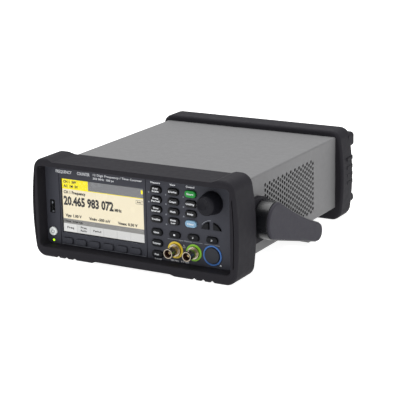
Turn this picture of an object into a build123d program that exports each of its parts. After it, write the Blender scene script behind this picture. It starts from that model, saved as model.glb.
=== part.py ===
from build123d import *
import os
from math import asin, atan2, cos, hypot, pi, sin, sqrt

# Half-rack bench frequency counter, in millimetres.
# +X is to the right seen from the front, +Y runs to the rear and +Z is up.
# The origin is on the bench, under the middle of the overall box.

# ---------------------------------------------------------------- driving dimensions
overall_width = 261.1       # over the handle's outer pads
overall_depth = 303.2       # knob face to rear jack tips
overall_height = 103.8      # bumper soles to bumper tops
case_z = 54.1               # middle of the case, above the soles

case_width = 212.8          # half-rack case
case_height = 80.0
panel_width = 222.6         # front panel, wider than the case, hidden edges under the bumper
panel_height = 84.8
panel_z = 53.4
sheet = 1.2                 # case and chassis sheet
air = 0.35                  # clearance round anything that moves

bumper_front = -150.4
bumper_edge = -109.5        # rear edge of the front bumper
panel_front = -136.0        # outer face of the front panel
panel_back = panel_front + 3.0
bumper_seat = -125.4        # where the panel skirt ends and the case begins
board_front = -129.5        # component face of the keypad board

rear_bumper_front = 99.6
rear_bumper_back = 133.5
case_back = 129.9
rear_panel_in = 130.5
rear_panel_out = 132.0

bumper_half = 120.0         # half width at mid height, where the sides bow out
bumper_corner = 12.0

pivot_y = -86.2
pivot_z = 51.2
hub_radius = 19.5
tip_y = 7.3
tip_z = 14.8
tip_radius = 10.5
arm_inner = 120.6
arm_outer = 127.5
hub_inner = 113.2
pin_radius = 5.0
running_gap = 0.05

display_x = -42.95
display_z = 53.0
display_width = 97.6
display_height = 55.6

key_travel = 1.0
key_width = 12.6
key_height = 7.0
key_columns = (22.1, 41.8, 61.5)
key_row_top = 82.8
key_row_pitch = 10.0
low_key_top = 39.5
low_key_pitch = 11.4
softkey_pitch = 16.5
softkey_mid_x = -44.5
softkey_z = 16.0

knob_x = 85.3
knob_z = 76.9
power_x = -104.2
power_z = 23.8
led_z = 14.2
usb_x = -104.0
usb_z = 50.6
channel_x = (42.7, 63.7, 84.7)
jack_z = 23.6
channel_key_z = 39.2

rear_jack_x = (34.0, 14.0, -6.0, -26.0)
rear_jack_z = 32.2
fan_x = 72.0
fan_z = 54.2
inlet_x = -84.0
inlet_z = 54.2

os.makedirs("parts", exist_ok=True)


def facing(y):
    """A vertical plane at depth y that faces the front: local axes are X and Z."""
    return Plane.XZ.offset(-y)


def side(x):
    """A vertical plane at distance x that faces right: local axes are Y and Z."""
    return Plane.YZ.offset(x)


def save(part, name):
    part.label = name
    export_step(part, f"parts/{name}.step")


def slab(size, low_y, high_y, at=(0.0, 0.0), corner=0.0, mode=Mode.ADD):
    """A block of the given width and height from low_y to high_y, in the open part."""
    with BuildSketch(facing(high_y)) as outline:
        with Locations(at):
            if corner:
                RectangleRounded(size[0], size[1], corner)
            else:
                Rectangle(size[0], size[1])
    extrude(outline.sketch, amount=high_y - low_y, mode=mode)


def rod(radius, low_y, high_y, at=(0.0, 0.0), mode=Mode.ADD):
    """A cylinder along Y from low_y to high_y, in the open part."""
    with BuildSketch(facing(high_y)) as outline:
        with Locations(at):
            Circle(radius)
    extrude(outline.sketch, amount=high_y - low_y, mode=mode)


# ---------------------------------------------------------------- case and chassis
vent_pitch = 5.5
vent_radius = 1.95
vent_columns = 12           # pairs of columns, alternately offset by half a pitch
vent_rows = 11
vent_y = -11.4
vent_z = 52.8
column_step = vent_pitch * 3 ** 0.5

with BuildPart() as sleeve:
    slab((case_width, case_height), bumper_seat, case_back, at=(0, case_z), corner=2.2)
    inside = (case_width - 2 * sheet, case_height - 2 * sheet)
    slab(inside, bumper_seat, case_back, at=(0, case_z), corner=1.0, mode=Mode.SUBTRACT)
    with BuildSketch(Plane.YZ):
        with Locations((vent_y - column_step / 4, vent_z)):
            with GridLocations(column_step, vent_pitch, vent_columns, vent_rows):
                Circle(vent_radius)
        with Locations((vent_y + column_step / 4, vent_z)):
            with GridLocations(column_step, vent_pitch, vent_columns, vent_rows - 1):
                Circle(vent_radius)
    extrude(amount=case_width, both=True, mode=Mode.SUBTRACT)
    with BuildSketch(Plane.YZ):
        with Locations((pivot_y, pivot_z)):
            Circle(6.2)
    extrude(amount=case_width, both=True, mode=Mode.SUBTRACT)
save(sleeve.part, "case_sleeve")

tray_width = case_width - 2 * sheet - 0.8
tray_floor = case_z - case_height / 2 + sheet + 0.3
tray_wall = 24.0
with BuildPart() as tray:
    with BuildSketch(facing(rear_panel_in - 0.8)):
        with Locations((0, tray_floor + tray_wall / 2)):
            Rectangle(tray_width, tray_wall)
        with Locations((0, tray_floor + tray_wall / 2 + sheet)):
            Rectangle(tray_width - 2 * sheet, tray_wall, mode=Mode.SUBTRACT)
    extrude(amount=rear_panel_in - 0.8 - bumper_seat - 2.0)
    with BuildSketch(Plane.XY.offset(tray_floor)):
        with Locations((0, -60), (0, 20), (0, 90)):
            with GridLocations(60, 1, 3, 1):
                SlotOverall(34, 6)
    extrude(amount=sheet, mode=Mode.SUBTRACT)
    with BuildSketch(Plane.XY.offset(tray_floor + sheet)):
        with Locations((20, -8)):
            with GridLocations(144, 190, 2, 2):
                Circle(3.0)
    extrude(amount=6.0)
save(tray.part, "chassis_tray")

# ---------------------------------------------------------------- bumpers
pad_inner = 92.0            # the top is level outside this half width
sole_inner = 44.0           # bottom pads lie outside this half width
sole_relief = 2.6
groove_x = 80.5             # middle of each group of sole grooves
groove_pitch = 10.0
ear_radius = 22.5           # rubber ear round each handle pivot
ear_outer = 112.6
boss_radius = 11.0
bow_z = 48.9                # height at which the bumpers are widest
cavity = (case_width + 0.2, case_height + 0.2)
mouth = (panel_width + 0.4, panel_height + 0.4)


def bumper_block(bow, top_z, front_y, back_y):
    """The bumper's outline, its sides bowed out to the given half width."""
    top = bow - 5.5
    sole = bow - 4.0
    with BuildSketch(facing(back_y)) as profile:
        with BuildLine():
            Line((-sole, 0), (sole, 0))
            ThreePointArc((sole, 0), (bow, bow_z), (top, top_z))
            Line((top, top_z), (-top, top_z))
            ThreePointArc((-top, top_z), (-bow, bow_z), (-sole, 0))
        make_face()
        fillet(profile.vertices(), bumper_corner)
    extrude(profile.sketch, amount=back_y - front_y)


def trough(half, level, depth, slope):
    """A shallow trapezoid that starts at a level and reaches up or down by the depth."""
    foot = half + slope
    top = level + depth
    with BuildLine() as edge:
        Polyline((-foot, level), (-half, top), (half, top), (foot, level), close=True)
    make_face(edge.edges())


def relieve_sole(front_y, back_y):
    """Raise the middle of the sole between the pads."""
    with BuildSketch(facing(back_y)) as gap:
        trough(sole_inner, 0, sole_relief, 6.0)
    extrude(gap.sketch, amount=back_y - front_y, mode=Mode.SUBTRACT)


with BuildPart() as bumper:
    bumper_block(bumper_half, overall_height, bumper_front, bumper_edge)
    fillet(bumper.faces().sort_by(Axis.Y)[0].edges(), 3.6)
    fillet(bumper.faces().sort_by(Axis.Y)[-1].edges(), 3.5)
    # the top falls towards the rear between the two corner pads
    with BuildSketch(facing(bumper_edge)) as rear_dip:
        trough(pad_inner, overall_height + 0.2, -2.9, 8.0)
    with BuildSketch(facing(bumper_front + 13.0)) as front_dip:
        trough(pad_inner, overall_height + 0.2, -0.25, 8.0)
    loft([front_dip.sketch, rear_dip.sketch], mode=Mode.SUBTRACT)
    relieve_sole(bumper_front, bumper_edge)
    with BuildSketch(facing(bumper_edge)):
        with Locations((-groove_x, 0), (groove_x, 0)):
            with GridLocations(groove_pitch, 1, 3, 1):
                Ellipse(2.8, 3.2)
    extrude(amount=bumper_edge - bumper_front, mode=Mode.SUBTRACT)
    slab(mouth, bumper_front, bumper_seat, (0, panel_z), 4.5, Mode.SUBTRACT)
    slab(cavity, bumper_seat, bumper_edge, (0, case_z), 2.0, Mode.SUBTRACT)
    fillet(bumper.faces().sort_by(Axis.Y)[0].inner_wires()[0].edges(), 1.2)
    # a seam runs up each side of the front face
    with BuildSketch(facing(bumper_front + 1.6)) as seam:
        with BuildLine():
            ThreePointArc((bumper_half - 5.6, 18), (bumper_half - 4.6, bow_z), (bumper_half - 6.4, 86))
            Line((bumper_half - 6.4, 86), (bumper_half - 5.4, 86))
            ThreePointArc((bumper_half - 5.4, 86), (bumper_half - 3.6, bow_z), (bumper_half - 4.6, 18))
            Line((bumper_half - 4.6, 18), (bumper_half - 5.6, 18))
        make_face()
    extrude(seam.sketch, amount=1.6, mode=Mode.SUBTRACT)
    with BuildSketch(side(ear_outer)):
        with Locations((pivot_y, pivot_z)):
            Circle(ear_radius)
        with Locations(((pivot_y + bumper_edge) / 2 - 1, pivot_z)):
            Rectangle(pivot_y - bumper_edge + 2, 2 * ear_radius)
    extrude(amount=case_width / 2 + 0.1 - ear_outer)
    with BuildSketch(side(0)):
        with Locations((pivot_y, pivot_z)):
            Circle(boss_radius + 0.2)
    extrude(amount=bumper_half, mode=Mode.SUBTRACT)
    split(bisect_by=Plane.YZ)
    mirror(about=Plane.YZ)
save(bumper.part, "front_bumper")

rear_half = 115.5
rear_top = 100.6
rear_round = 10.5
nub_back = rear_bumper_back + 3.8   # rear corner nubs, which the instrument can stand on
nub_x = 107.0
rib_heights = (40.5, 49.0, 57.5, 67.0)
rib_proud = 0.35

with BuildPart() as rear_guard:
    bumper_block(rear_half, rear_top, rear_bumper_front, rear_bumper_back)
    fillet(rear_guard.faces().sort_by(Axis.Y)[-1].edges(), rear_round)
    fillet(rear_guard.faces().sort_by(Axis.Y)[0].edges(), 3.2)
    relieve_sole(rear_bumper_front, rear_bumper_back)
    for x in (-nub_x, nub_x):
        for nub_z, nub_height in ((86.0, 16.0), (19.4, 10.0)):
            slab((11.0, nub_height), 122.0, nub_back, (x, nub_z), 4.0)
    fillet(rear_guard.faces().sort_by(Axis.Y)[-4:].edges(), 3.0)
    slab(cavity, rear_bumper_front, rear_panel_out, (0, case_z), 2.0, Mode.SUBTRACT)
    slab((204, 74), rear_panel_out, nub_back, (0, case_z), 6.0, Mode.SUBTRACT)
    for z in rib_heights:
        width = 2 * (rear_half + rib_proud)
        depth = 2 * (rear_bumper_back + rib_proud - rear_bumper_front)
        with BuildSketch(Plane.XY.offset(z - 1.6)) as rib:
            with Locations((0, rear_bumper_front)):
                RectangleRounded(width, depth, rear_round + rib_proud)
            with Locations((0, rear_bumper_back)):
                Rectangle(2 * 107.5, 60, mode=Mode.SUBTRACT)
            with Locations((0, rear_bumper_front)):
                Rectangle(260, 24, mode=Mode.SUBTRACT)
                with Locations((0, -40)):
                    Rectangle(260, 70, mode=Mode.SUBTRACT)
        extrude(amount=3.2)
save(rear_guard.part, "rear_bumper")

# ---------------------------------------------------------------- handle
arm_tilt = atan2(tip_z - pivot_z, tip_y - pivot_y)
arm_reach = hypot(tip_y - pivot_y, tip_z - pivot_z)
grip_half = overall_width / 2
bar_y = 6.5
bar_z = 8.6


def polar(centre, radius, angle):
    return (centre[0] + radius * cos(angle), centre[1] + radius * sin(angle))


def arm_outline(inset):
    """Side view of an arm: a round hub and a round tip, a hollowed top edge, a straight belly."""
    hub = (pivot_y, pivot_z)
    tip = (tip_y, tip_z)
    hub_r = hub_radius - inset
    tip_r = tip_radius - inset
    lean = asin((hub_r - tip_r) / arm_reach)
    top = arm_tilt + pi / 2 - lean
    belly = arm_tilt - pi / 2 + lean
    hub_top = polar(hub, hub_r, top)
    tip_top = polar(tip, tip_r, top)
    hollow = ((hub_top[0] + tip_top[0]) / 2 - 0.9, (hub_top[1] + tip_top[1]) / 2 - 2.2)
    with BuildLine() as edge:
        ThreePointArc(hub_top, polar(hub, hub_r, pi), polar(hub, hub_r, belly))
        Line(polar(hub, hub_r, belly), polar(tip, tip_r, belly))
        ThreePointArc(polar(tip, tip_r, belly), polar(tip, tip_r, 0), tip_top)
        ThreePointArc(tip_top, hollow, hub_top)
    make_face(edge.edges())


def lathe_x(radius, low_x, high_x, mode=Mode.ADD):
    """A cylinder on the handle's pivot axis, in the open part."""
    with BuildSketch(side(low_x)) as disc:
        with Locations((pivot_y, pivot_z)):
            Circle(radius)
    extrude(disc.sketch, amount=high_x - low_x, mode=mode)


with BuildPart() as handle:
    with BuildSketch(side(arm_inner)):
        arm_outline(0)
    extrude(amount=arm_outer - arm_inner)
    lathe_x(hub_radius, hub_inner, arm_inner)
    fillet(handle.faces().sort_by(Axis.X)[0].edges(), 0.8)
    with BuildSketch(side(0)):
        with Locations((bar_y, bar_z)):
            RectangleRounded(21.0, 8.6, 4.2)
    extrude(amount=arm_inner + 2)
    lathe_x(pin_radius + running_gap, hub_inner, 124.3, mode=Mode.SUBTRACT)
    mirror(about=Plane.YZ)
save(handle.part, "handle_frame")

with BuildPart() as grips:
    with BuildSketch(side(arm_outer)):
        arm_outline(1.0)
    extrude(amount=grip_half - arm_outer)
    fillet(grips.faces().sort_by(Axis.X)[-1].edges(), 1.8)
    mirror(about=Plane.YZ)
save(grips.part, "handle_grips")

with BuildPart() as pivots:
    lathe_x(boss_radius, case_width / 2, hub_inner - 0.3)
    lathe_x(pin_radius, hub_inner - 0.3, 124.0)
    lathe_x(6.0, 99.0, case_width / 2)
    lathe_x(9.5, 101.6, case_width / 2 - sheet)
    mirror(about=Plane.YZ)
save(pivots.part, "handle_pivots")

# ---------------------------------------------------------------- keys
flange = 0.8                # how far a key's flange reaches past its hole
flange_front = panel_back + air
flange_back = flange_front + 1.2
arrow_x = 83.8
arrow_low = 49.7
arrow_half_gap = 2.5
arrow_radius = 12.0
arrow_centre_z = 45.0


def arrow_outline(hand, grow):
    """Half of a low arch, left (-1) or right (+1) of its middle, grown by a margin."""
    radius = arrow_radius + grow
    near = arrow_half_gap - grow
    low = arrow_low - grow
    rise = low - arrow_centre_z
    far = sqrt(radius ** 2 - rise ** 2)
    peak = sqrt(radius ** 2 - near ** 2)
    middle = (atan2(rise, far) + atan2(peak, near)) / 2
    corner = (arrow_x + hand * near, low)
    foot = (arrow_x + hand * far, low)
    shoulder = (arrow_x + hand * radius * cos(middle), arrow_centre_z + radius * sin(middle))
    summit = (arrow_x + hand * near, arrow_centre_z + peak)
    with BuildLine() as edge:
        Polyline(summit, corner, foot)
        ThreePointArc(foot, shoulder, summit)
    make_face(edge.edges())


def cap_outline(shape, grow):
    """A key's outline grown by a margin; shape is (x, z, width, height, corner) or a hand."""
    if isinstance(shape, int):
        arrow_outline(shape, grow)
    else:
        x, z, width, height, corner = shape
        with Locations((x, z)):
            RectangleRounded(width + 2 * grow, height + 2 * grow, corner + grow)


def make_key(name, shape, proud, soften):
    with BuildPart() as key:
        with BuildSketch(facing(flange_front)) as cap:
            cap_outline(shape, 0)
            if isinstance(shape, int):
                fillet(cap.vertices(), 0.9)
        extrude(amount=flange_front - panel_front + proud)
        fillet(key.faces().sort_by(Axis.Y)[0].edges(), soften)
        with BuildSketch(facing(flange_back)):
            cap_outline(shape, flange)
        extrude(amount=flange_back - flange_front)
    save(key.part, name)


key_shapes = {}
for n in range(6):
    x = softkey_mid_x + (n - 2.5) * softkey_pitch
    key_shapes[f"softkey_{n + 1}"] = (x, softkey_z, 12.2, 6.4, 2.2)
for n in range(4):
    z = key_row_top - n * key_row_pitch
    key_shapes[f"left_key_{n + 1}"] = (key_columns[0], z, key_width, key_height, 3.3)
    key_shapes[f"middle_key_{n + 1}"] = (key_columns[1], z, key_width, key_height, 3.3)
    key_shapes[f"right_key_{n + 1}"] = (key_columns[2], z, key_width, key_height, 3.3)
for n in range(3):
    z = low_key_top - n * low_key_pitch
    key_shapes[f"left_key_{n + 5}"] = (key_columns[0], z, key_width, key_height, 3.3)
    key_shapes[f"channel_key_{n + 1}"] = (channel_x[n], channel_key_z, key_width, 6.4, 3.1)
key_shapes["arrow_key_left"] = -1
key_shapes["arrow_key_right"] = 1

for name, shape in key_shapes.items():
    make_key(name, shape, 2.0, 0.8)

with BuildPart() as power:
    rod(4.6, panel_front - 1.2, flange_front, (power_x, power_z))
    fillet(power.faces().sort_by(Axis.Y)[0].edges(), 0.7)
    rod(5.2, flange_front, flange_back, (power_x, power_z))
save(power.part, "power_button")

# ---------------------------------------------------------------- front panel
seam_left = -94.4           # joins of the display frame with the side strips
seam_right = 9.9
skirt = 0.7                 # edge of the panel, turned back to the case
window = (display_width + 1.8, display_height + 1.8)
knob_hole = 5.0
jack_hole = 5.0

with BuildPart() as panel:
    slab((panel_width, panel_height), panel_front, bumper_seat - 0.3, (0, panel_z), 4.3)
    hollow = (panel_width - 2 * skirt, panel_height - 2 * skirt)
    slab(hollow, panel_back, bumper_seat, (0, panel_z), 3.6, Mode.SUBTRACT)
    slab(window, panel_front, panel_back, (display_x, display_z), 0.6, Mode.SUBTRACT)
    with BuildSketch(facing(panel_back)):
        for shape in key_shapes.values():
            cap_outline(shape, air)
        with Locations((power_x, power_z)):
            Circle(4.6 + air)
        with Locations((power_x, led_z)):
            Circle(1.35)
        with Locations((usb_x, usb_z)):
            RectangleRounded(6.5, 14.2, 0.6)
        with Locations((knob_x, knob_z)):
            Circle(knob_hole)
        with Locations([(x, jack_z) for x in channel_x]):
            Circle(jack_hole)
    extrude(amount=panel_back - panel_front, mode=Mode.SUBTRACT)
    for x in (seam_left, seam_right):
        slab((0.9, panel_height), panel_front, panel_front + 0.8, (x, panel_z), mode=Mode.SUBTRACT)
    sill = (seam_right - seam_left - 3, 0.8)
    slab(sill, panel_front - 0.6, panel_front, ((seam_left + seam_right) / 2, 11.9))
save(panel.part, "front_panel")

with BuildPart() as glass:
    slab((window[0] - 0.2, window[1] - 0.2), panel_front + 0.1, panel_front + 1.3, (display_x, display_z), 0.5)
save(glass.part, "display_window")

with BuildPart() as lcd:
    slab((window[0] - 0.4, window[1] - 0.4), panel_front + 1.7, panel_back, (display_x, display_z))
    slab((103.0, 60.5), panel_back, board_front, (display_x, display_z))
save(lcd.part, "display_module")

with BuildPart() as lamp:
    rod(1.25, panel_front - 0.3, board_front, (power_x, led_z))
    fillet(lamp.faces().sort_by(Axis.Y)[0].edges(), 0.6)
save(lamp.part, "power_led")

# ---------------------------------------------------------------- knob and keypad board
shaft_radius = 3.0
knob_base_y = panel_front - 0.5
knob_face_y = -overall_depth / 2

with BuildPart() as knob:
    with BuildSketch(Plane.XY.offset(knob_z)):
        with BuildLine():
            Polyline((knob_x, knob_base_y), (knob_x + 11.9, knob_base_y), (knob_x + 11.5, knob_base_y - 3))
            Line((knob_x + 11.5, knob_base_y - 3), (knob_x + 9.9, knob_face_y + 2.6))
            ThreePointArc(
                (knob_x + 9.9, knob_face_y + 2.6),
                (knob_x + 9.0, knob_face_y + 0.8),
                (knob_x + 7.2, knob_face_y),
            )
            Line((knob_x + 7.2, knob_face_y), (knob_x, knob_face_y))
            Line((knob_x, knob_face_y), (knob_x, knob_base_y))
        make_face()
    revolve(axis=Axis((knob_x, 0, knob_z), (0, 1, 0)))
    rod(shaft_radius, knob_base_y, board_front - 0.6, (knob_x, knob_z))
    with Locations((knob_x - 2.6, knob_face_y - 8.2, knob_z + 2.2)):
        Sphere(10.4, mode=Mode.SUBTRACT)
save(knob.part, "tuning_knob")

with BuildPart() as board:
    slab((218.0, 81.5), board_front, board_front + 1.6, (0, panel_z), 2.5)
    slab((12.5, 12.5), panel_back + 0.3, board_front, (knob_x, knob_z), 1.0)
    rod(4.6, panel_front + 0.6, panel_back + 0.3, (knob_x, knob_z))
    rod(shaft_radius + running_gap, panel_front + 0.6, board_front, (knob_x, knob_z), Mode.SUBTRACT)
    slab((8.0, 16.0), board_front, board_front + 1.6, (usb_x, usb_z), mode=Mode.SUBTRACT)
    for x in channel_x:
        rod(7.0, board_front, board_front + 1.6, (x, jack_z), Mode.SUBTRACT)
    with BuildSketch(facing(board_front)):
        for shape in key_shapes.values():
            if not isinstance(shape, int):
                with Locations((shape[0], shape[1])):
                    Circle(1.6)
        with Locations((arrow_x - 6, arrow_low + 3), (arrow_x + 6, arrow_low + 3), (power_x, power_z)):
            Circle(1.6)
    extrude(amount=0.3)
save(board.part, "keypad_board")

# ---------------------------------------------------------------- front connectors
jack_length = 15.0


def jack_body(x, z, face_y, tip_y, back_y, outward):
    """A bayonet jack: flange, barrel with two lugs, threaded tail and an open mouth.

    outward is -1 for a jack that points to the front and +1 for one that points to the rear.
    """
    for radius, start, end in ((6.3, face_y, face_y + 2.4 * outward), (4.8, face_y, tip_y),
                               (4.7, back_y, face_y)):
        rod(radius, min(start, end), max(start, end), (x, z))
    lug_y = tip_y - 4.4 * outward
    with BuildSketch(Plane.XY.offset(z - 5.5)) as lug:
        with Locations((x, lug_y)):
            Circle(1.0)
    extrude(lug.sketch, amount=11.0)
    mouth = sorted((tip_y, tip_y - 9.0 * outward))
    rod(4.1, mouth[0], mouth[1], (x, z), Mode.SUBTRACT)


def jack_core(x, z, tip_y, outward):
    """The insulator and the hollow centre contact that stand in a jack's mouth."""
    floor_y = tip_y - 9.0 * outward
    ends = sorted((floor_y, tip_y - 4.2 * outward))
    rod(2.4, ends[0], ends[1], (x, z))
    pin = sorted((floor_y + 1.0 * outward, tip_y - 4.2 * outward))
    rod(0.6, pin[0], pin[1], (x, z), Mode.SUBTRACT)


with BuildPart() as input_jacks:
    for x in channel_x[:2]:
        jack_body(x, jack_z, panel_front, panel_front - jack_length, -118.0, -1)
save(input_jacks.part, "input_jacks")

ring_sizes = ((8.6, 6.5, 0.6), (8.6, 6.5, 0.6), (10.3, 8.7, 1.0))
for n, (outer, inner, proud) in enumerate(ring_sizes):
    with BuildPart() as ring:
        rod(outer, panel_front - proud, panel_front, (channel_x[n], jack_z))
        rod(inner, panel_front - proud, panel_front, (channel_x[n], jack_z), Mode.SUBTRACT)
        fillet(ring.faces().sort_by(Axis.Y)[0].edges(), 0.25)
    save(ring.part, f"channel_{n + 1}_ring")

with BuildPart() as plug:
    rod(8.3, panel_front - 2.2, panel_front, (channel_x[2], jack_z))
    fillet(plug.faces().sort_by(Axis.Y)[0].edges(), 0.9)
    rod(4.9, panel_front, panel_back + 1.5, (channel_x[2], jack_z))
save(plug.part, "channel_3_plug")

with BuildPart() as usb_host:
    slab((5.9, 13.6), panel_front + 0.3, -126.0, (usb_x, usb_z), 0.5)
    slab((5.2, 12.9), panel_front + 0.3, -127.0, (usb_x, usb_z), 0.3, Mode.SUBTRACT)
    slab((1.9, 11.2), panel_front + 1.2, -127.0, (usb_x - 1.2, usb_z))
save(usb_host.part, "usb_host_port")

# ---------------------------------------------------------------- boards inside
floor_top = tray_floor + sheet
main_board_z = floor_top + 6.0

with BuildPart() as logic:
    with BuildSketch(Plane.XY.offset(main_board_z)):
        with Locations((20, -8)):
            Rectangle(156, 204)
    extrude(amount=1.6)
    with BuildSketch(Plane.XY.offset(main_board_z + 1.6)):
        with Locations((-10, -30)):
            Rectangle(34, 34)
        with Locations((60, -24)):
            Rectangle(26, 26)
        with Locations((0, 70)):
            Rectangle(22, 14)
    extrude(amount=2.6)
    with BuildSketch(Plane.XY.offset(main_board_z + 1.6)):
        with Locations((-42, 10)):
            with GridLocations(1, 22, 1, 4):
                Circle(5.0)
    extrude(amount=12.0)
    with BuildSketch(Plane.XY.offset(main_board_z + 1.6)):
        with Locations((channel_x[0] - 1, -82), (channel_x[1] + 1.5, -82)):
            RectangleRounded(19.5, 50, 1.5)
    extrude(amount=15.0)
save(logic.part, "main_board")

with BuildPart() as oven:
    with BuildSketch(Plane.XY.offset(main_board_z + 1.6)):
        with Locations((62, 36)):
            RectangleRounded(51, 51, 3)
    extrude(amount=25.0)
    fillet(oven.faces().sort_by(Axis.Z)[-1].edges(), 1.5)
save(oven.part, "oven_oscillator")

with BuildPart() as supply:
    with BuildSketch(Plane.XY.offset(main_board_z)):
        with Locations((-81, 44)):
            Rectangle(42, 104)
    extrude(amount=1.6)
    with BuildSketch(Plane.XY.offset(main_board_z + 1.6)):
        with Locations((-81, 30)):
            RectangleRounded(36, 34, 2)
    extrude(amount=28.0)
    with BuildSketch(Plane.XY.offset(main_board_z + 1.6)):
        with Locations((-96, 66), (-66, 66)):
            Rectangle(4, 34)
    extrude(amount=32.0)
    with BuildSketch(Plane.XY.offset(main_board_z + 1.6)):
        with Locations((-81, 2)):
            Circle(9.0)
    extrude(amount=26.0)
save(supply.part, "power_supply")

# ---------------------------------------------------------------- rear panel
fan_size = 60.0
fan_bore = 28.0
fan_front = 114.0
inlet_body = (27.6, 48.0)
socket = (24.6, 17.0)
socket_z = inlet_z + 10.5
drawer_z = inlet_z - 14.5
drawer = (23.0, 9.0)
gpib_x = -16.0
gpib_z = 79.2
lan_x = 26.0
usb_rear_x = 2.0
ports_z = 56.2
vent_ring_radii = (6.5, 13.0, 19.5, 26.0)
screw_spots = ((-98.5, 21.7), (98.5, 21.7), (-98.5, 86.5), (98.5, 86.5))

with BuildPart() as back:
    slab((209.6, 77.0), rear_panel_in, rear_panel_out, (0, case_z), 1.5)
    with BuildSketch(facing(rear_panel_out)):
        for ring_number, radius in enumerate(vent_ring_radii):
            with Locations((fan_x, fan_z)):
                with PolarLocations(radius, 6 * (ring_number + 1)):
                    Circle(2.5)
        with Locations((inlet_x, inlet_z)):
            Rectangle(inlet_body[0], inlet_body[1])
        with Locations((lan_x, ports_z)):
            Rectangle(16.4, 14.0)
        with Locations((usb_rear_x, ports_z)):
            Rectangle(12.4, 11.4)
        with Locations((gpib_x, gpib_z)):
            Rectangle(54.0, 13.4)
        with Locations((-34, ports_z)):
            SlotOverall(7.4, 3.2)
        with Locations([(x, rear_jack_z) for x in rear_jack_x]):
            Circle(5.0)
        with Locations(screw_spots):
            Circle(1.6)
    extrude(amount=rear_panel_out - rear_panel_in, mode=Mode.SUBTRACT)
save(back.part, "rear_panel")

with BuildPart() as screws:
    for spot in screw_spots:
        rod(1.5, 126.0, rear_panel_out, spot)
        rod(2.9, rear_panel_out, rear_panel_out + 1.7, spot)
        with BuildSketch(facing(rear_panel_out + 1.7)):
            with Locations(spot):
                RegularPolygon(1.5, 6)
        extrude(amount=1.1, mode=Mode.SUBTRACT)
save(screws.part, "case_screws")

with BuildPart() as fan_frame:
    slab((fan_size, fan_size), fan_front, rear_panel_in, (fan_x, fan_z), 4.0)
    rod(fan_bore, fan_front, rear_panel_in, (fan_x, fan_z), Mode.SUBTRACT)
    for angle in (45, 165, 285):
        with BuildSketch(facing(fan_front + 2.0)):
            with Locations((fan_x, fan_z)):
                with Locations(Location((0, 0), angle)):
                    with Locations((15, 0)):
                        Rectangle(30, 3)
        extrude(amount=2.0)
    rod(11.0, fan_front, fan_front + 2.0, (fan_x, fan_z))
    rod(2.0, fan_front + 2.0, fan_front + 11.0, (fan_x, fan_z))
    with BuildSketch(facing(rear_panel_in)):
        with Locations((fan_x, fan_z)):
            with GridLocations(50, 50, 2, 2):
                Circle(2.2)
    extrude(amount=rear_panel_in - fan_front, mode=Mode.SUBTRACT)
save(fan_frame.part, "fan_frame")

rotor_front = fan_front + 2.6
rotor_back = rear_panel_in - 1.5
with BuildPart() as rotor:
    rod(11.5, rotor_front, rotor_back, (fan_x, fan_z))
    blade_plane = Plane(origin=(fan_x, (rotor_front + rotor_back) / 2, fan_z), z_dir=(0, 0, 1))
    for turn in range(7):
        tilted = blade_plane.rotated((0, turn * 360 / 7, 0))
        with BuildSketch(tilted.offset(10.0)):
            Ellipse(6.6, 0.9, rotation=38)
        extrude(amount=16.6)
    rod(2.0 + running_gap, rotor_front, fan_front + 11.6, (fan_x, fan_z), Mode.SUBTRACT)
save(rotor.part, "fan_rotor")

with BuildPart() as inlet:
    slab((inlet_body[0] - 0.4, inlet_body[1] - 0.4), 108.0, rear_panel_out, (inlet_x, inlet_z), 1.0)
    slab((31.0, 52.0), rear_panel_out, rear_panel_out + 1.8, (inlet_x, inlet_z), 2.0)
    slab(socket, 117.0, rear_panel_out + 1.8, (inlet_x, socket_z), 3.0, Mode.SUBTRACT)
    bore = (drawer[0] + 2 * air, drawer[1] + 2 * air)
    slab(bore, 110.0, rear_panel_out + 1.8, (inlet_x, drawer_z), 0.6, Mode.SUBTRACT)
    for pin_x, pin_z in ((-7.0, -1.8), (7.0, -1.8), (0.0, 2.2)):
        slab((2.0, 4.0), 117.0, 130.0, (inlet_x + pin_x, socket_z + pin_z))
save(inlet.part, "mains_inlet")

with BuildPart() as fuse_tray:
    slab(drawer, 112.0, rear_panel_out + 2.6, (inlet_x, drawer_z), 0.6)
    slab((18.0, 6.4), 115.0, 128.0, (inlet_x, drawer_z), 0.5, Mode.SUBTRACT)
    slab((9.0, 2.0), rear_panel_out + 1.6, rear_panel_out + 2.6, (inlet_x, drawer_z + 3.6), mode=Mode.SUBTRACT)
save(fuse_tray.part, "fuse_drawer")

with BuildPart() as rear_jacks:
    for x in rear_jack_x:
        jack_body(x, rear_jack_z, rear_panel_out + 3.6, overall_depth / 2, 122.0, 1)
save(rear_jacks.part, "rear_jacks")

with BuildPart() as cores:
    for x in channel_x[:2]:
        jack_core(x, jack_z, panel_front - jack_length, -1)
    for x in rear_jack_x:
        jack_core(x, rear_jack_z, overall_depth / 2, 1)
        rod(8.2, rear_panel_out, rear_panel_out + 3.6, (x, rear_jack_z))
        rod(4.7, rear_panel_out, rear_panel_out + 3.6, (x, rear_jack_z), Mode.SUBTRACT)
save(cores.part, "jack_insulators")

with BuildPart() as lan:
    slab((16.0, 13.6), 114.0, rear_panel_out + 0.8, (lan_x, ports_z), 0.4)
    slab((11.8, 8.4), 119.0, rear_panel_out + 0.8, (lan_x, ports_z + 0.6), 0.4, Mode.SUBTRACT)
save(lan.part, "lan_jack")

with BuildPart() as usb_rear:
    slab((12.0, 11.0), 116.0, rear_panel_out + 0.8, (usb_rear_x, ports_z), 0.8)
    slab((8.6, 7.8), 121.0, rear_panel_out + 0.8, (usb_rear_x, ports_z), 0.8, Mode.SUBTRACT)
    slab((5.6, 3.0), 121.0, rear_panel_out + 0.2, (usb_rear_x, ports_z))
save(usb_rear.part, "usb_device_port")

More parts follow.
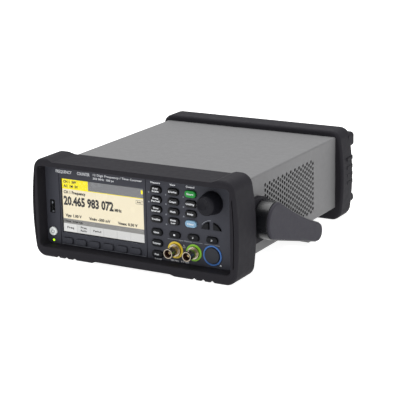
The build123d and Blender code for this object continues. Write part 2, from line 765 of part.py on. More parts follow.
with BuildPart() as gpib:
    slab((53.6, 13.0), 118.0, rear_panel_out, (gpib_x, gpib_z), 1.0)
    slab((42.0, 11.6), rear_panel_out, rear_panel_out + 6.0, (gpib_x, gpib_z), 2.6)
    slab((38.6, 8.0), 123.0, rear_panel_out + 6.0, (gpib_x, gpib_z), 2.0, Mode.SUBTRACT)
    slab((35.0, 3.6), 123.0, rear_panel_out + 5.2, (gpib_x, gpib_z), 1.0)
    with BuildSketch(facing(rear_panel_out + 5.0)):
        with Locations((gpib_x - 24.0, gpib_z), (gpib_x + 24.0, gpib_z)):
            RegularPolygon(2.6, 6)
    extrude(amount=5.0)
save(gpib.part, "gpib_connector")
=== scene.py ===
from math import cos, pi, radians, sin

import bmesh
import bpy
from mathutils import Matrix, Vector


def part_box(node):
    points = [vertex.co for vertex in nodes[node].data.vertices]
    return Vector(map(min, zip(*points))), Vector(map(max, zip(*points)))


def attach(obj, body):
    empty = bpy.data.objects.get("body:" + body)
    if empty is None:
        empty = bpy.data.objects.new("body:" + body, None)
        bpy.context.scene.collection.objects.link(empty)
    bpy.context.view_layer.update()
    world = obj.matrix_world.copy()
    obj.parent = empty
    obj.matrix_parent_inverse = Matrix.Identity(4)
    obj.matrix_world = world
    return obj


# Looks of a half-rack bench frequency counter: finishes, lit display, legends, light and camera.
# Places are in millimetres in the part's frame and are turned into metres by MM.

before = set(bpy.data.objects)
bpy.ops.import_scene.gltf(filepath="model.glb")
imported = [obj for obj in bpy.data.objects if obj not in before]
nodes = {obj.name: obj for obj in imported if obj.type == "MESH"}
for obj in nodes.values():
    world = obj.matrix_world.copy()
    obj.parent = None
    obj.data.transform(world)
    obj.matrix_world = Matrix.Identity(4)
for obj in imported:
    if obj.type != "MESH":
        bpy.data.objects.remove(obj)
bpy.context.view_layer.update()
scene = bpy.context.scene
MM = 0.001
BASE = "instrument"
INK = 0.03                     # print stands this far off its face
SHEET = 0.3                    # thickness of the painted-shade sheets behind the vents
BOLD = 0.045                   # how far letters swell, as a share of their height
DISPLAY_BOLD = 0.065
FINE = 0.02
RING_STEPS = 20                # sides of a turned ring
LAMP_STEPS = 16                # sides of a domed lamp


def tint(red, green, blue):
    """A screen colour, 0 to 255 a channel, as the linear colour a shader takes."""
    linear = []
    for value in (red, green, blue):
        share = value / 255
        linear.append(share / 12.92 if share <= 0.04045 else ((share + 0.055) / 1.055) ** 2.4)
    return (*linear, 1.0)


def scaled(colour, factor):
    """The colour made darker or lighter, its alpha left at one."""
    return tuple(min(1.0, channel * factor) for channel in colour[:3]) + (1.0,)


# ---------------------------------------------------------------- shader helpers
def add(material, kind, inputs=None, **settings):
    """A new shader node; inputs maps socket names or numbers to values or to sockets."""
    made = material.node_tree.nodes.new("ShaderNode" + kind)
    for key, value in settings.items():
        setattr(made, key, value)
    for key, value in (inputs or {}).items():
        if isinstance(value, bpy.types.NodeSocket):
            material.node_tree.links.new(value, made.inputs[key])
        else:
            made.inputs[key].default_value = value
    return made


def blank(name):
    """A new material and its Principled shader."""
    material = bpy.data.materials.new(name)
    material.use_nodes = True
    return material, material.node_tree.nodes["Principled BSDF"]


def wire(material, source, shader, socket):
    """Feed a shader's socket from a node's output."""
    material.node_tree.links.new(source, shader.inputs[socket])


def remap(material, value, low, high, to_low, to_high):
    """The value carried from one range to another and held at its ends."""
    inputs = {"Value": value, "From Min": low, "From Max": high, "To Min": to_low, "To Max": to_high}
    return add(material, "MapRange", inputs).outputs["Result"]


def blend_colours(material, factor, first, second):
    """A mix of two colours; the Mix node numbers its colour sockets 6 and 7, and 2 going out."""
    return add(material, "Mix", {0: factor, 6: first, 7: second}, data_type="RGBA").outputs[2]


def object_place(material):
    """Where the shaded point is in the piece's own space."""
    return add(material, "TexCoord").outputs["Object"]


def noise(material, place, size_mm, detail=3.0, stretch=(1, 1, 1)):
    """Noise whose blobs are about size_mm across, longer along an axis with a small stretch."""
    if stretch != (1, 1, 1):
        place = add(material, "Mapping", {"Vector": place, "Scale": stretch}).outputs["Vector"]
    inputs = {"Vector": place, "Scale": 1000 / size_mm, "Detail": detail, "Roughness": 0.6}
    return add(material, "TexNoise", inputs).outputs["Fac"]


def surface(name, colour, rough=0.5, grain=0.6, depth=0.02, blotch=0.1, wear=0.0,
            stretch=(1, 1, 1), edge=0.35, **fixed):
    """A moulded, painted or plated finish.

    Clouds mottle its colour, rubs vary its gloss, a fine grain of the given size and depth in
    millimetres roughens it, and edges are softly rounded and rubbed towards a lighter colour.
    Further settings go to the shader's own sockets, with underscores for spaces.
    """
    material, shader = blank(name)
    place = object_place(material)
    clouds = noise(material, place, 45, 6.0)
    fine = noise(material, place, grain, 3.0, stretch)
    rubs = noise(material, place, 6, 4.0)
    mottled = blend_colours(material, clouds, scaled(colour, 1 - blotch), scaled(colour, 1 + blotch))
    rounded = add(material, "Bevel", {"Radius": edge * MM}, samples=4).outputs["Normal"]
    true = add(material, "NewGeometry").outputs["Normal"]
    both = {0: rounded, 1: true}
    facing = add(material, "VectorMath", both, operation="DOT_PRODUCT").outputs["Value"]
    rim = remap(material, facing, 0.82, 0.99, wear, 0.0)
    rubbed = add(material, "Math", {0: rim, 1: rubs}, operation="MULTIPLY").outputs[0]
    worn = scaled(colour, 2.2)
    wire(material, blend_colours(material, rubbed, mottled, worn), shader, "Base Color")
    wire(material, remap(material, rubs, 0.25, 0.75, rough - 0.06, rough + 0.06), shader, "Roughness")
    relief = {"Height": fine, "Distance": depth * MM, "Strength": 0.6, "Normal": rounded}
    wire(material, add(material, "Bump", relief).outputs["Normal"], shader, "Normal")
    for socket, value in fixed.items():
        shader.inputs[socket.replace("_", " ")].default_value = value
    return material


def lit(name, colour, strength):
    """Part of a lit display: its own light, a faint pixel weave and an uneven backlight."""
    material, shader = blank(name)
    place = object_place(material)
    clouds = noise(material, place, 30, 2.0)
    weave = {"Vector": place, "Scale": 4200.0, "Color1": scaled(colour, 0.97), "Color2": colour}
    pixels = add(material, "TexChecker", weave).outputs["Color"]
    glow = blend_colours(material, clouds, scaled(colour, 0.96), pixels)
    wire(material, glow, shader, "Emission Color")
    wire(material, remap(material, clouds, 0.2, 0.8, 0.22, 0.3), shader, "Roughness")
    shader.inputs["Base Color"].default_value = scaled(colour, 0.08)
    shader.inputs["Emission Strength"].default_value = strength
    return material


def ink(name, colour, rough=0.55):
    """Screen-printed ink: slightly uneven cover and gloss."""
    material, shader = blank(name)
    place = object_place(material)
    cover = noise(material, place, 0.5, 3.0)
    wire(material, blend_colours(material, cover, scaled(colour, 0.8), colour), shader, "Base Color")
    wire(material, remap(material, cover, 0.3, 0.7, rough - 0.1, rough + 0.1), shader, "Roughness")
    return material


def window_glass(name):
    """A clear window: nearly invisible, with a faint smear in its gloss."""
    material, shader = blank(name)
    place = object_place(material)
    smear = noise(material, place, 18, 5.0)
    wire(material, remap(material, smear, 0.3, 0.7, 0.04, 0.16), shader, "Roughness")
    greys = blend_colours(material, smear, tint(40, 42, 46), tint(30, 32, 36))
    wire(material, greys, shader, "Base Color")
    shader.inputs["Alpha"].default_value = 0.05
    return material


def board_finish(name):
    """Circuit board: green mask over a fine net of copper tracks."""
    material, shader = blank(name)
    place = object_place(material)
    tracks = add(material, "TexVoronoi", {"Vector": place, "Scale": 260.0}, distance="CHEBYCHEV")
    net = remap(material, tracks.outputs["Distance"], 0.3, 0.34, 0.0, 1.0)
    colours = blend_colours(material, net, tint(24, 92, 48), tint(12, 58, 32))
    wire(material, colours, shader, "Base Color")
    wire(material, remap(material, net, 0.0, 1.0, 0.3, 0.42), shader, "Roughness")
    return material


# ---------------------------------------------------------------- finishes
rubber = surface("bumper_rubber", tint(37, 36, 40), 0.6, 0.7, 0.02, 0.06, 0.2,
                 Specular_IOR_Level=0.06)
grip_rubber = surface("grip_rubber", tint(56, 55, 61), 0.62, 0.5, 0.02, 0.05, 0.2,
                      Specular_IOR_Level=0.08)
case_paint = surface("case_paint", tint(102, 102, 103), 0.52, 0.9, 0.03, 0.03, 0.25,
                     Specular_IOR_Level=0.3)
gloss_black = surface("black_plastic", tint(15, 16, 19), 0.3, 1.2, 0.004, 0.1, 0.4)
inner_black = surface("inner_black", tint(20, 20, 22), 0.7, 1.2, 0.01, 0.1, 0.1,
                      Specular_IOR_Level=0.1)
panel_plastic = surface("panel_plastic", tint(60, 61, 68), 0.55, 0.5, 0.02, 0.05, 0.15,
                        Specular_IOR_Level=0.12)
black_key = surface("function_key", tint(15, 15, 18), 0.42, 0.5, 0.01, 0.1, 0.3,
                    Specular_IOR_Level=0.2)
dark_key = surface("dark_key", tint(24, 25, 28), 0.45, 0.5, 0.01, 0.1, 0.3,
                   Specular_IOR_Level=0.1)
soft_key = surface("soft_key", tint(56, 57, 64), 0.5, 0.5, 0.015, 0.06, 0.2,
                   Specular_IOR_Level=0.15)
green_key = surface("green_key", tint(22, 134, 50), 0.42, 0.5, 0.01, 0.08, 0.3,
                    Specular_IOR_Level=0.25)
blue_key = surface("blue_key", tint(124, 160, 186), 0.45, 0.5, 0.01, 0.06, 0.3,
                   Specular_IOR_Level=0.25)
white_key = surface("white_key", tint(232, 236, 234), 0.45, 0.6, 0.01, 0.04, 0.0)
knob_plastic = surface("knob_plastic", tint(25, 25, 30), 0.45, 0.8, 0.01, 0.06, 0.2,
                       Specular_IOR_Level=0.1)
plug_plastic = surface("plug_plastic", tint(42, 44, 51), 0.45, 0.6, 0.015, 0.06, 0.2,
                       Specular_IOR_Level=0.2)
nickel = surface("nickel", tint(172, 162, 146), 0.24, 0.4, 0.004, 0.05, 0.0, Metallic=1.0)
plated_steel = surface("steel", tint(176, 178, 180), 0.34, 0.5, 0.01, 0.06, 0.1, Metallic=1.0)
zinc_sheet = surface("zinc_sheet", tint(178, 182, 184), 0.4, 1.2, 0.012, 0.1, 0.1,
                     stretch=(0.06, 1, 1), Metallic=1.0)
contact_gold = surface("contact_gold", tint(236, 214, 160), 0.35, 0.4, 0.004, 0.05)
dark_insulator = surface("dark_insulator", tint(58, 34, 24), 0.45, 0.7, 0.01, 0.1)
connector_plastic = surface("connector_plastic", tint(40, 52, 92), 0.45, 0.6, 0.015, 0.07, 0.1)
yellow_ring = surface("yellow_ring", tint(222, 192, 40), 0.4, 0.6, 0.01, 0.05)
green_ring = surface("green_ring", tint(130, 192, 32), 0.4, 0.6, 0.01, 0.05)
blue_ring = surface("blue_ring", tint(46, 100, 170), 0.4, 0.6, 0.01, 0.05)
circuit_board = board_finish("circuit_board")
glass = window_glass("window")
screen_off = surface("screen_surround", tint(18, 18, 20), 0.35, 0.5, 0.005, 0.05)
led_glow = lit("led", tint(190, 255, 20), 1.6)

cream = lit("screen_cream", tint(252, 240, 208), 0.93)
screen_yellow = lit("screen_yellow", tint(255, 238, 0), 1.0)
screen_grey = lit("screen_grey", tint(126, 127, 130), 0.9)
screen_strip = lit("screen_strip", tint(140, 139, 136), 0.9)
screen_light = lit("screen_light", tint(216, 216, 214), 0.95)
screen_white = lit("screen_white", tint(226, 226, 224), 0.96)
screen_black = lit("screen_black", tint(16, 15, 14), 0.5)
white_ink = ink("white_ink", tint(222, 224, 228))
grey_ink = ink("grey_ink", tint(132, 136, 144))
# A faint grey used only for the painted highlight on the sill bead.
painted_highlight = ink("painted_highlight", tint(92, 94, 102))
dark_ink = ink("dark_ink", tint(54, 56, 60))

finishes = {
    "case_sleeve": case_paint, "chassis_tray": inner_black, "front_bumper": rubber,
    "rear_bumper": rubber, "handle_frame": gloss_black, "handle_grips": grip_rubber,
    "handle_pivots": plated_steel, "front_panel": panel_plastic, "display_window": glass,
    "display_module": screen_off, "power_led": led_glow, "keypad_board": circuit_board,
    "input_jacks": nickel, "rear_jacks": nickel, "channel_1_ring": yellow_ring,
    "channel_2_ring": green_ring, "channel_3_ring": blue_ring, "channel_3_plug": plug_plastic,
    "usb_host_port": gloss_black, "usb_device_port": nickel, "lan_jack": nickel,
    "gpib_connector": connector_plastic, "main_board": circuit_board,
    "oven_oscillator": inner_black, "power_supply": inner_black, "rear_panel": zinc_sheet,
    "case_screws": plated_steel, "fan_frame": gloss_black, "fan_rotor": gloss_black,
    "mains_inlet": gloss_black, "fuse_drawer": gloss_black, "jack_insulators": dark_insulator,
    "tuning_knob": knob_plastic, "power_button": white_key,
    "right_key_1": green_key, "right_key_4": blue_key,
}


def finish_of(name):
    """The finish of a CAD node; keys that have none of their own go by their group."""
    if name in finishes:
        return finishes[name]
    if name.startswith("softkey"):
        return soft_key
    if name.startswith(("channel", "arrow")) or name in ("left_key_5", "left_key_6", "left_key_7"):
        return dark_key
    return black_key


for name, node in nodes.items():
    node.data.materials.clear()
    node.data.materials.append(finish_of(name))

# ---------------------------------------------------------------- piece helpers
def box_mm(name):
    """Low and high corners of a CAD node, in millimetres."""
    return tuple(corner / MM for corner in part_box(name))


def middle_of(name):
    """The point midway between a CAD node's corners, in millimetres."""
    low, high = box_mm(name)
    return (low + high) / 2


panel_y = box_mm("channel_1_ring")[1].y
rear_y = box_mm("rear_panel")[1].y


def keep(name, form, material, body=BASE):
    """Turn a bmesh into a piece that rides on a body."""
    mesh = bpy.data.meshes.new(name)
    form.to_mesh(mesh)
    form.free()
    mesh.materials.append(material)
    shown = bpy.data.objects.new(name, mesh)
    scene.collection.objects.link(shown)
    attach(shown, body)
    return shown


def letter_mesh(text, height, weight):
    """Flat raised letters of the given capital height, centred, facing up.

    Capitals of the built-in font stand about 0.7 of its size, and weight swells their outlines.
    """
    curve = bpy.data.curves.new("letters", "FONT")
    curve.body = text
    curve.size = height * MM / 0.7
    curve.align_x = "CENTER"
    curve.align_y = "CENTER"
    curve.extrude = INK * MM
    curve.offset = height * MM * weight
    curve.resolution_u = 2
    holder = bpy.data.objects.new("letters", curve)
    scene.collection.objects.link(holder)
    bpy.context.view_layer.update()
    mesh = bpy.data.meshes.new_from_object(holder)
    bpy.data.objects.remove(holder)
    bpy.data.curves.remove(curve)
    return mesh


def write(name, items, y, material, body=BASE, rear=False, weight=BOLD):
    """Legends on a face at depth y. Each item is (text, x, z, capital height, width or None)."""
    form = bmesh.new()
    for text, x, z, height, width in items:
        mesh = letter_mesh(text, height, weight)
        xs = [v.co.x for v in mesh.vertices]
        squeeze = width * MM / (max(xs) - min(xs)) if width else 1.0
        turn = Matrix.Rotation(pi if rear else 0.0, 4, "Z") @ Matrix.Rotation(pi / 2, 4, "X")
        place = Matrix.Translation((x * MM, y * MM, z * MM))
        mesh.transform(place @ turn @ Matrix.Diagonal((squeeze, 1, 1, 1)))
        form.from_mesh(mesh)
        bpy.data.meshes.remove(mesh)
    return keep(name, form, material, body)


def plates(name, rectangles, y, material, body=BASE, thick=0.04, corner=0.0, sideways=False):
    """Thin plates facing the front. Each is (x low, x high, z low, z high).

    Sideways plates get a quarter turn, so y counts to the left and x to the rear.
    """
    form = bmesh.new()
    for x_low, x_high, z_low, z_high in rectangles:
        size = Vector((x_high - x_low, thick, z_high - z_low)) * MM
        middle = Vector(((x_low + x_high) / 2, y, (z_low + z_high) / 2)) * MM
        made = bmesh.ops.create_cube(form, matrix=Matrix.LocRotScale(middle, None, size))
        if corner:
            upright = [e for e in {e for v in made["verts"] for e in v.link_edges}
                       if abs(e.verts[0].co.y - e.verts[1].co.y) > 0.5 * thick * MM]
            bmesh.ops.bevel(form, geom=upright, offset=corner * MM, segments=4, affect="EDGES")
    if sideways:
        quarter = Matrix.Rotation(pi / 2, 3, "Z")
        bmesh.ops.rotate(form, verts=form.verts, cent=(0, 0, 0), matrix=quarter)
    return keep(name, form, material, body)


def strokes(name, paths, y, width, material, body=BASE, closed=False):
    """Printed lines: each path is a list of (x, z) points followed by a flat band of ink."""
    form = bmesh.new()
    for path in paths:
        points = [Vector((x, z)) for x, z in path]
        count = len(points)
        rows = []
        for n, point in enumerate(points):
            before = points[n - 1] if n or closed else point
            after = points[(n + 1) % count] if n < count - 1 or closed else point
            along = (after - before).normalized()
            across = Vector((-along.y, along.x)) * width / 2
            row = []
            for edge in (point - across, point + across):
                for depth in (y - INK, y + INK):
                    row.append(form.verts.new((edge.x * MM, depth * MM, edge.y * MM)))
            rows.append(row)
        spans = list(zip(rows, rows[1:])) + ([(rows[-1], rows[0])] if closed else [])
        for a, b in spans:
            for i, j in ((0, 1), (1, 3), (3, 2), (2, 0)):
                form.faces.new((a[i], a[j], b[j], b[i]))
        if not closed:
            for row in (rows[0], rows[-1]):
                form.faces.new((row[0], row[1], row[3], row[2]))
    bmesh.ops.recalc_face_normals(form, faces=form.faces)
    return keep(name, form, material, body)


def arc(x, z, radius, start, end, steps=24):
    """Points along an arc; angles in degrees, anticlockwise from +X as seen from the front."""
    turns = [radians(start + (end - start) * n / steps) for n in range(steps + 1)]
    return [(x + radius * cos(turn), z + radius * sin(turn)) for turn in turns]


def lens_dots(name, spots, y, radius, proud, material, body=BASE):
    """Small domed lamps set in a flat rim."""
    form = bmesh.new()
    profile = ((1.0, 0.0), (0.96, 0.35), (0.74, 0.4), (0.6, 0.72), (0.34, 0.94), (0.0, 1.0))
    for x, z in spots:
        rings = []
        for share, rise in profile:
            count = 1 if share == 0 else LAMP_STEPS
            ring = []
            for n in range(count):
                turn = 2 * pi * n / count
                spot = ((x + radius * share * cos(turn)) * MM, (y - proud * rise) * MM,
                        (z + radius * share * sin(turn)) * MM)
                ring.append(form.verts.new(spot))
            rings.append(ring)
        for low, high in zip(rings, rings[1:]):
            for n in range(LAMP_STEPS):
                after = (n + 1) % LAMP_STEPS
                if len(high) == 1:
                    form.faces.new((low[n], low[after], high[0]))
                else:
                    form.faces.new((low[n], low[after], high[after], high[n]))
    bmesh.ops.recalc_face_normals(form, faces=form.faces)
    return keep(name, form, material, body)


def collars(name, spots, profile, material, body=BASE):
    """Turned rings about lines that run to the rear; the profile is (radius, depth) pairs."""
    form = bmesh.new()
    for x, z in spots:
        rings = []
        for radius, depth in profile:
            ring = []
            for n in range(RING_STEPS):
                turn = 2 * pi * n / RING_STEPS
                spot = ((x + radius * cos(turn)) * MM, depth * MM, (z + radius * sin(turn)) * MM)
                ring.append(form.verts.new(spot))
            rings.append(ring)
        for low, high in zip(rings, rings[1:] + rings[:1]):
            for n in range(RING_STEPS):
                after = (n + 1) % RING_STEPS
                form.faces.new((low[n], low[after], high[after], high[n]))
    bmesh.ops.recalc_face_normals(form, faces=form.faces)
    return keep(name, form, material, body)


# ---------------------------------------------------------------- lit display
screen_left, screen_right = -91.9, 6.0
screen_bottom, screen_top = 25.1, 80.9
tab_right = -60.0              # the input's tab runs from the left edge to here
header_z = 70.4                # foot of the grey header and the tab
header_line = 0.7
strip_top = 39.0               # top of the grey status strip
bar_top = 33.8                 # top of the row of softkey names
screen_y = box_mm("display_module")[0].y - INK
text_y = screen_y - 2 * INK

reading = [(screen_left, screen_right, strip_top, header_z)]
plates("screen_reading", reading, screen_y, cream)
header = [(tab_right, screen_right, header_z + header_line, screen_top)]
plates("screen_header", header, screen_y, screen_grey)
plates("screen_tab", [(screen_left, tab_right, header_z, screen_top)], screen_y, screen_yellow)
underline = [(tab_right, screen_right, header_z, header_z + header_line)]
plates("screen_header_line", underline, screen_y, screen_yellow)
plates("screen_mark", [(3.2, 5.4, 75.2, 79.6)], text_y, screen_yellow, corner=0.5)
plates("screen_strip", [(screen_left, screen_right, bar_top, strip_top)], screen_y, screen_strip)
cells = [screen_left + (screen_right - screen_left) * n / 6 for n in range(7)]
plates("screen_key_first", [(cells[0], cells[1], screen_bottom, bar_top)], screen_y, screen_white)
plates("screen_keys", [(cells[1], screen_right, screen_bottom, bar_top)], screen_y, screen_light)
dividers = [(x - 0.06, x + 0.06, screen_bottom, bar_top) for x in cells[1:-1]]
plates("screen_key_dividers", dividers, text_y, screen_grey)

# Words are (text, middle x, middle z, capital height, width).
write("screen_reading_text", [
    ("20.465 983 072", -60.3, 57.6, 8.8, 61.0),
    ("MHz", -24.6, 54.8, 3.0, 8.4),
    ("CH 1 Frequency", -77.0, 67.0, 3.0, 27.0),
    ("Vpp: 1.00 V", -79.2, 42.4, 2.8, 20.0),
    ("Vmin: -500 mV", -47.2, 42.1, 2.8, 26.0),
    ("Vmax: 0.50 V", -13.6, 41.8, 2.8, 23.5),
], text_y, screen_black, weight=DISPLAY_BOLD)
write("screen_tab_text", [
    ("CH 1  50%", -82.0, 78.0, 2.5, 16.5),
    ("AC  1M  5V", -81.2, 73.4, 2.5, 18.0),
], text_y, screen_black, weight=DISPLAY_BOLD)
write("screen_strip_text", [("Gate: internal", -79.6, 36.5, 2.4, 22.5)], text_y, screen_black)
write("screen_key_text", [
    ("Freq", -83.6, 29.6, 2.2, 8.0),
    ("Freq", -67.4, 31.3, 1.9, 7.0),
    ("Ratio", -67.4, 28.0, 1.9, 7.6),
    ("Period", -50.8, 29.6, 1.9, 9.6),
], text_y, screen_black)
write("screen_badge_text", [("Auto", 0.8, 66.5, 1.7, 5.6)], text_y, screen_black)
badge = [(-3.2, 64.7), (4.8, 64.7), (4.8, 68.3), (-3.2, 68.3)]
strokes("screen_badge", [badge], text_y, 0.35, screen_black, closed=True)

# ---------------------------------------------------------------- panel legends
ink_y = panel_y - INK
input_line_z = 34.1            # the line over the inputs, broken by its heading
write("panel_title", [
    ("FREQUENCY", -88.2, 88.4, 3.1, 19.6),
    ("COUNTER", -64.0, 88.6, 3.1, 15.4),
    ("12 Digit Frequency / Time Counter", -23.6, 89.2, 2.1, 58.0),
    ("350 MHz  100 ps", -40.0, 85.4, 2.1, 25.0),
], ink_y, white_ink, weight=FINE)
write("panel_headings", [
    ("Measure", 21.2, 89.5, 1.8, 11.0),
    ("View", 40.8, 89.5, 1.8, 7.0),
    ("Control", 60.8, 89.5, 1.8, 9.6),
    ("Local", 22.3, 11.6, 1.4, 7.6),
    ("5 V max", 53.2, 12.4, 1.4, 9.0),
    ("350 MHz", 41.5, 12.4, 1.4, 9.0),
], ink_y, white_ink)
input_runs = ((34.0, 45.5), (62.5, 73.4), (75.8, 92.5))
input_lines = [[(start, input_line_z), (end, input_line_z)] for start, end in input_runs]
strokes("input_lines", input_lines, ink_y, 0.4, grey_ink)
write("input_heading", [("Input Channels", 54.0, input_line_z, 1.4, 15.0)], ink_y, grey_ink)
mark = [(50.9, 27.2), (53.7, 27.2), (52.3, 30.1)]
strokes("input_mark", [mark], ink_y, 0.35, white_ink, closed=True)
strokes("cursor_arc", [arc(83.8, 45.0, 13.6, 140, 92)], ink_y, 0.55, grey_ink)
# A pale line along the sill bead under the softkeys is a painted highlight.
sill_y = box_mm("front_panel")[0].y - INK
plates("sill_highlight", [(-93.0, 8.4, 11.6, 12.2)], sill_y, painted_highlight)

# A lamp stands at the lower left of most keys, in the same three columns.
lamp_columns = {13.4: (79.3, 69.5), 33.0: (78.7, 69.3, 58.8, 48.7), 53.0: (78.8, 68.8, 59.1)}
lamp_spots = [(x, z) for x, heights in lamp_columns.items() for z in heights]
lens_dots("key_lamps", lamp_spots, panel_y, 0.8, 0.35, grey_ink)
lens_dots("input_screw", [(93.3, 13.8)], panel_y, 1.2, 0.5, plated_steel)


# ---------------------------------------------------------------- inside the openings
input_spots = [(42.7, 23.6), (63.7, 23.6)]
mouth_y = box_mm("input_jacks")[0].y
core_y = mouth_y + 4.2
contact = ((0.62, core_y + 1.2), (0.62, core_y - 0.5), (0.8, core_y - 0.7), (1.15, core_y - 0.6),
           (1.25, core_y - 0.3), (1.25, core_y + 0.1))
collars("input_contacts", input_spots, contact, contact_gold)
# Dark tubes lining the jack bores are painted shade inside the mouths, where the metal walls fall
# dark.
bore_shade_inner, bore_shade_outer = 3.9, 4.05
bore_shade_front, bore_shade_back = mouth_y + 0.8, mouth_y + 8.6
bore_shade = ((bore_shade_outer, bore_shade_front), (bore_shade_inner, bore_shade_front), (bore_shade_inner, bore_shade_back),
         (bore_shade_outer, bore_shade_back))
collars("input_bore_shade", input_spots, bore_shade, dark_insulator)

# Dark sheets just behind the fan and the side vents are painted shade: they stand in for the dark
# inside of the case and keep daylight from showing through the vents.
fan_sheet, fan_sheet_y = (45.0, 99.0, 27.0, 81.5), 113.2
plates("fan_shade_sheet", [fan_sheet], fan_sheet_y, inner_black, thick=0.8, corner=3.0)
vent_sheet, vent_sheet_x = (-74.0, 52.0, 24.0, 84.0), 103.1
for side_name, depth in (("right", -vent_sheet_x), ("left", vent_sheet_x)):
    plates("vent_shade_sheet_" + side_name, [vent_sheet], depth, inner_black, thick=SHEET, corner=4.0,
           sideways=True)

# Light plates in the host port: the wide one along the bottom is a painted highlight; the small one
# near the top left is a light mark by the tongue.
usb_low, usb_high = box_mm("usb_host_port")
usb_marks = [(usb_low.x + 2.2, usb_high.x - 1.2, usb_low.z + 0.9, usb_low.z + 1.7),
             (usb_low.x + 2.0, usb_low.x + 3.4, usb_high.z - 4.4, usb_high.z - 2.0)]
plates("usb_highlight_and_mark", usb_marks, usb_low.y + 0.5, grey_ink, corner=0.2, thick=0.2)

# ---------------------------------------------------------------- key legends
key_words = {
    "left_key_1": ("Auto", "Scale"), "left_key_2": ("Freq", "Period"),
    "left_key_3": ("Time", "Interval"), "left_key_4": ("Totalize",),
    "left_key_5": ("Gate",), "left_key_6": ("Trigger",), "left_key_7": ("Run",),
    "middle_key_1": ("Digits",), "middle_key_2": ("Graph",), "middle_key_3": ("Math",),
    "middle_key_4": ("Data", "Log"), "right_key_1": ("Start",), "right_key_2": ("Utility",),
    "right_key_3": ("Help",), "right_key_4": ("Clear",),
    "channel_key_1": ("1",), "channel_key_2": ("2",), "channel_key_3": ("3",),
}
key_print = 0.02               # key legends stand this far off the key
letter_step, widest_word = 1.45, 9.6
for key, words in key_words.items():
    centre = middle_of(key)
    digit = key.startswith("channel")
    height, weight = (1.7, 0.0) if digit else (1.8, BOLD)
    lifts = (0.0,) if len(words) == 1 else (1.4, -1.4)
    lines = [(word, centre.x, centre.z + lift, height,
              min(letter_step * len(word) + 0.6, widest_word)) for word, lift in zip(words, lifts)]
    key_y = box_mm(key)[0].y - key_print
    write(key + "_legend", lines, key_y, white_ink, body=key, weight=weight)

power = middle_of("power_button")
power_y = box_mm("power_button")[0].y - key_print
power_ring = arc(power.x, power.z, 1.9, 125, 415)
power_bar = [(power.x, power.z + 0.4), (power.x, power.z + 2.5)]
strokes("power_symbol", [power_ring, power_bar], power_y, 0.45, dark_ink, body="power_button")

# ---------------------------------------------------------------- rear legends
rear_ink_y = rear_y + INK
jack_names = ("10 MHz OUT", "EXT REF", "TRIG IN", "GATE OUT")
jack_low, jack_high = box_mm("rear_jacks")
jack_width = 12.6              # across one jack's flange
jack_pitch = (jack_high.x - jack_low.x - jack_width) / (len(jack_names) - 1)
jack_z = middle_of("rear_jacks").z
rear_words = []
for n, word in enumerate(jack_names):
    jack_x = jack_high.x - jack_width / 2 - n * jack_pitch
    rear_words.append((word, jack_x, jack_z - 11.0, 1.5, None))
gpib_low = box_mm("gpib_connector")[0]
inlet_low, inlet_high = box_mm("mains_inlet")
inlet_x = middle_of("mains_inlet").x
rear_words += [
    ("LAN", middle_of("lan_jack").x, box_mm("lan_jack")[0].z - 2.4, 1.7, None),
    ("USB", middle_of("usb_device_port").x, box_mm("usb_device_port")[0].z - 2.6, 1.7, None),
    ("GPIB", gpib_low.x - 5.0, middle_of("gpib_connector").z, 1.9, None),
    ("AC LINE", inlet_x, inlet_high.z + 2.8, 1.9, None),
    ("FUSE", inlet_x, inlet_low.z - 2.8, 1.9, None),
]
write("rear_legends", rear_words, rear_ink_y, dark_ink, rear=True)
line_left, line_right = jack_low.x - 3, jack_high.x + 3
line_bottom, line_top = jack_z - 14, jack_z + 11
jack_line = [(line_left, line_bottom), (line_right, line_bottom), (line_right, line_top),
             (line_left, line_top)]
strokes("rear_jack_frame", [jack_line], rear_ink_y, 0.4, dark_ink, closed=True)

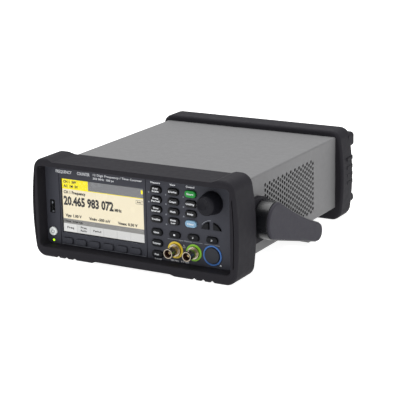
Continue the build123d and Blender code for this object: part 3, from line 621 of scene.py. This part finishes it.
# ---------------------------------------------------------------- floor, light, camera
floor_form = bmesh.new()
bmesh.ops.create_grid(floor_form, x_segments=2, y_segments=2, size=9.0)
floor_mesh = bpy.data.meshes.new("floor")
floor_form.to_mesh(floor_mesh)
floor_form.free()
floor = bpy.data.objects.new("floor", floor_mesh)
scene.collection.objects.link(floor)
floor_paint, floor_shader = blank("pale_floor")
floor_shader.inputs["Base Color"].default_value = (0.5, 0.5, 0.5, 1.0)
floor_shader.inputs["Emission Color"].default_value = (1.0, 1.0, 1.0, 1.0)
floor_shader.inputs["Emission Strength"].default_value = 0.9
floor_shader.inputs["Roughness"].default_value = 0.9
floor_mesh.materials.append(floor_paint)


def softbox(name, place, width, height, watts):
    """A rectangular lamp that faces the middle of the object."""
    light = bpy.data.lights.new(name, "AREA")
    light.shape = "RECTANGLE"
    light.size = width
    light.size_y = height
    light.energy = watts
    lamp = bpy.data.objects.new(name, light)
    scene.collection.objects.link(lamp)
    lamp.location = place
    lamp.rotation_euler = (Vector(light_aim) - Vector(place)).to_track_quat("-Z", "Y").to_euler()


light_aim = (0.0, 0.0, 0.05)
softbox("top_light", (-0.25, 0.35, 1.7), 2.2, 2.2, 44)
softbox("front_light", (-1.2, -1.9, 1.2), 1.2, 1.0, 10)
softbox("right_light", (2.0, -0.3, 0.9), 1.2, 1.0, 8)

scene.world = bpy.data.worlds.new("studio")
scene.world.use_nodes = True
sky = scene.world.node_tree.nodes["Background"]
sky.inputs["Color"].default_value = (1.0, 1.0, 1.0, 1.0)
sky.inputs["Strength"].default_value = 0.6
scene.view_settings.view_transform = "Standard"

# The camera looks down at the front right corner, rolled slightly.
azimuth, elevation, roll = radians(30.17), radians(15.42), radians(-1.18)
camera_place = (0.74585, -1.29577, 0.44804)
back = Vector((sin(azimuth) * cos(elevation), -cos(azimuth) * cos(elevation), sin(elevation)))
level = (-back).cross(Vector((0, 0, 1))).normalized()
rise = level.cross(-back)
across = cos(roll) * level + sin(roll) * rise
upward = -sin(roll) * level + cos(roll) * rise
camera = bpy.data.objects.new("camera", bpy.data.cameras.new("camera"))
scene.collection.objects.link(camera)
camera.data.sensor_width = 36.0
camera.data.lens = 129.78
camera.data.clip_end = 50.0
turn = Matrix((across, upward, back)).transposed().to_4x4()
camera.matrix_world = Matrix.Translation(camera_place) @ turn
scene.camera = camera
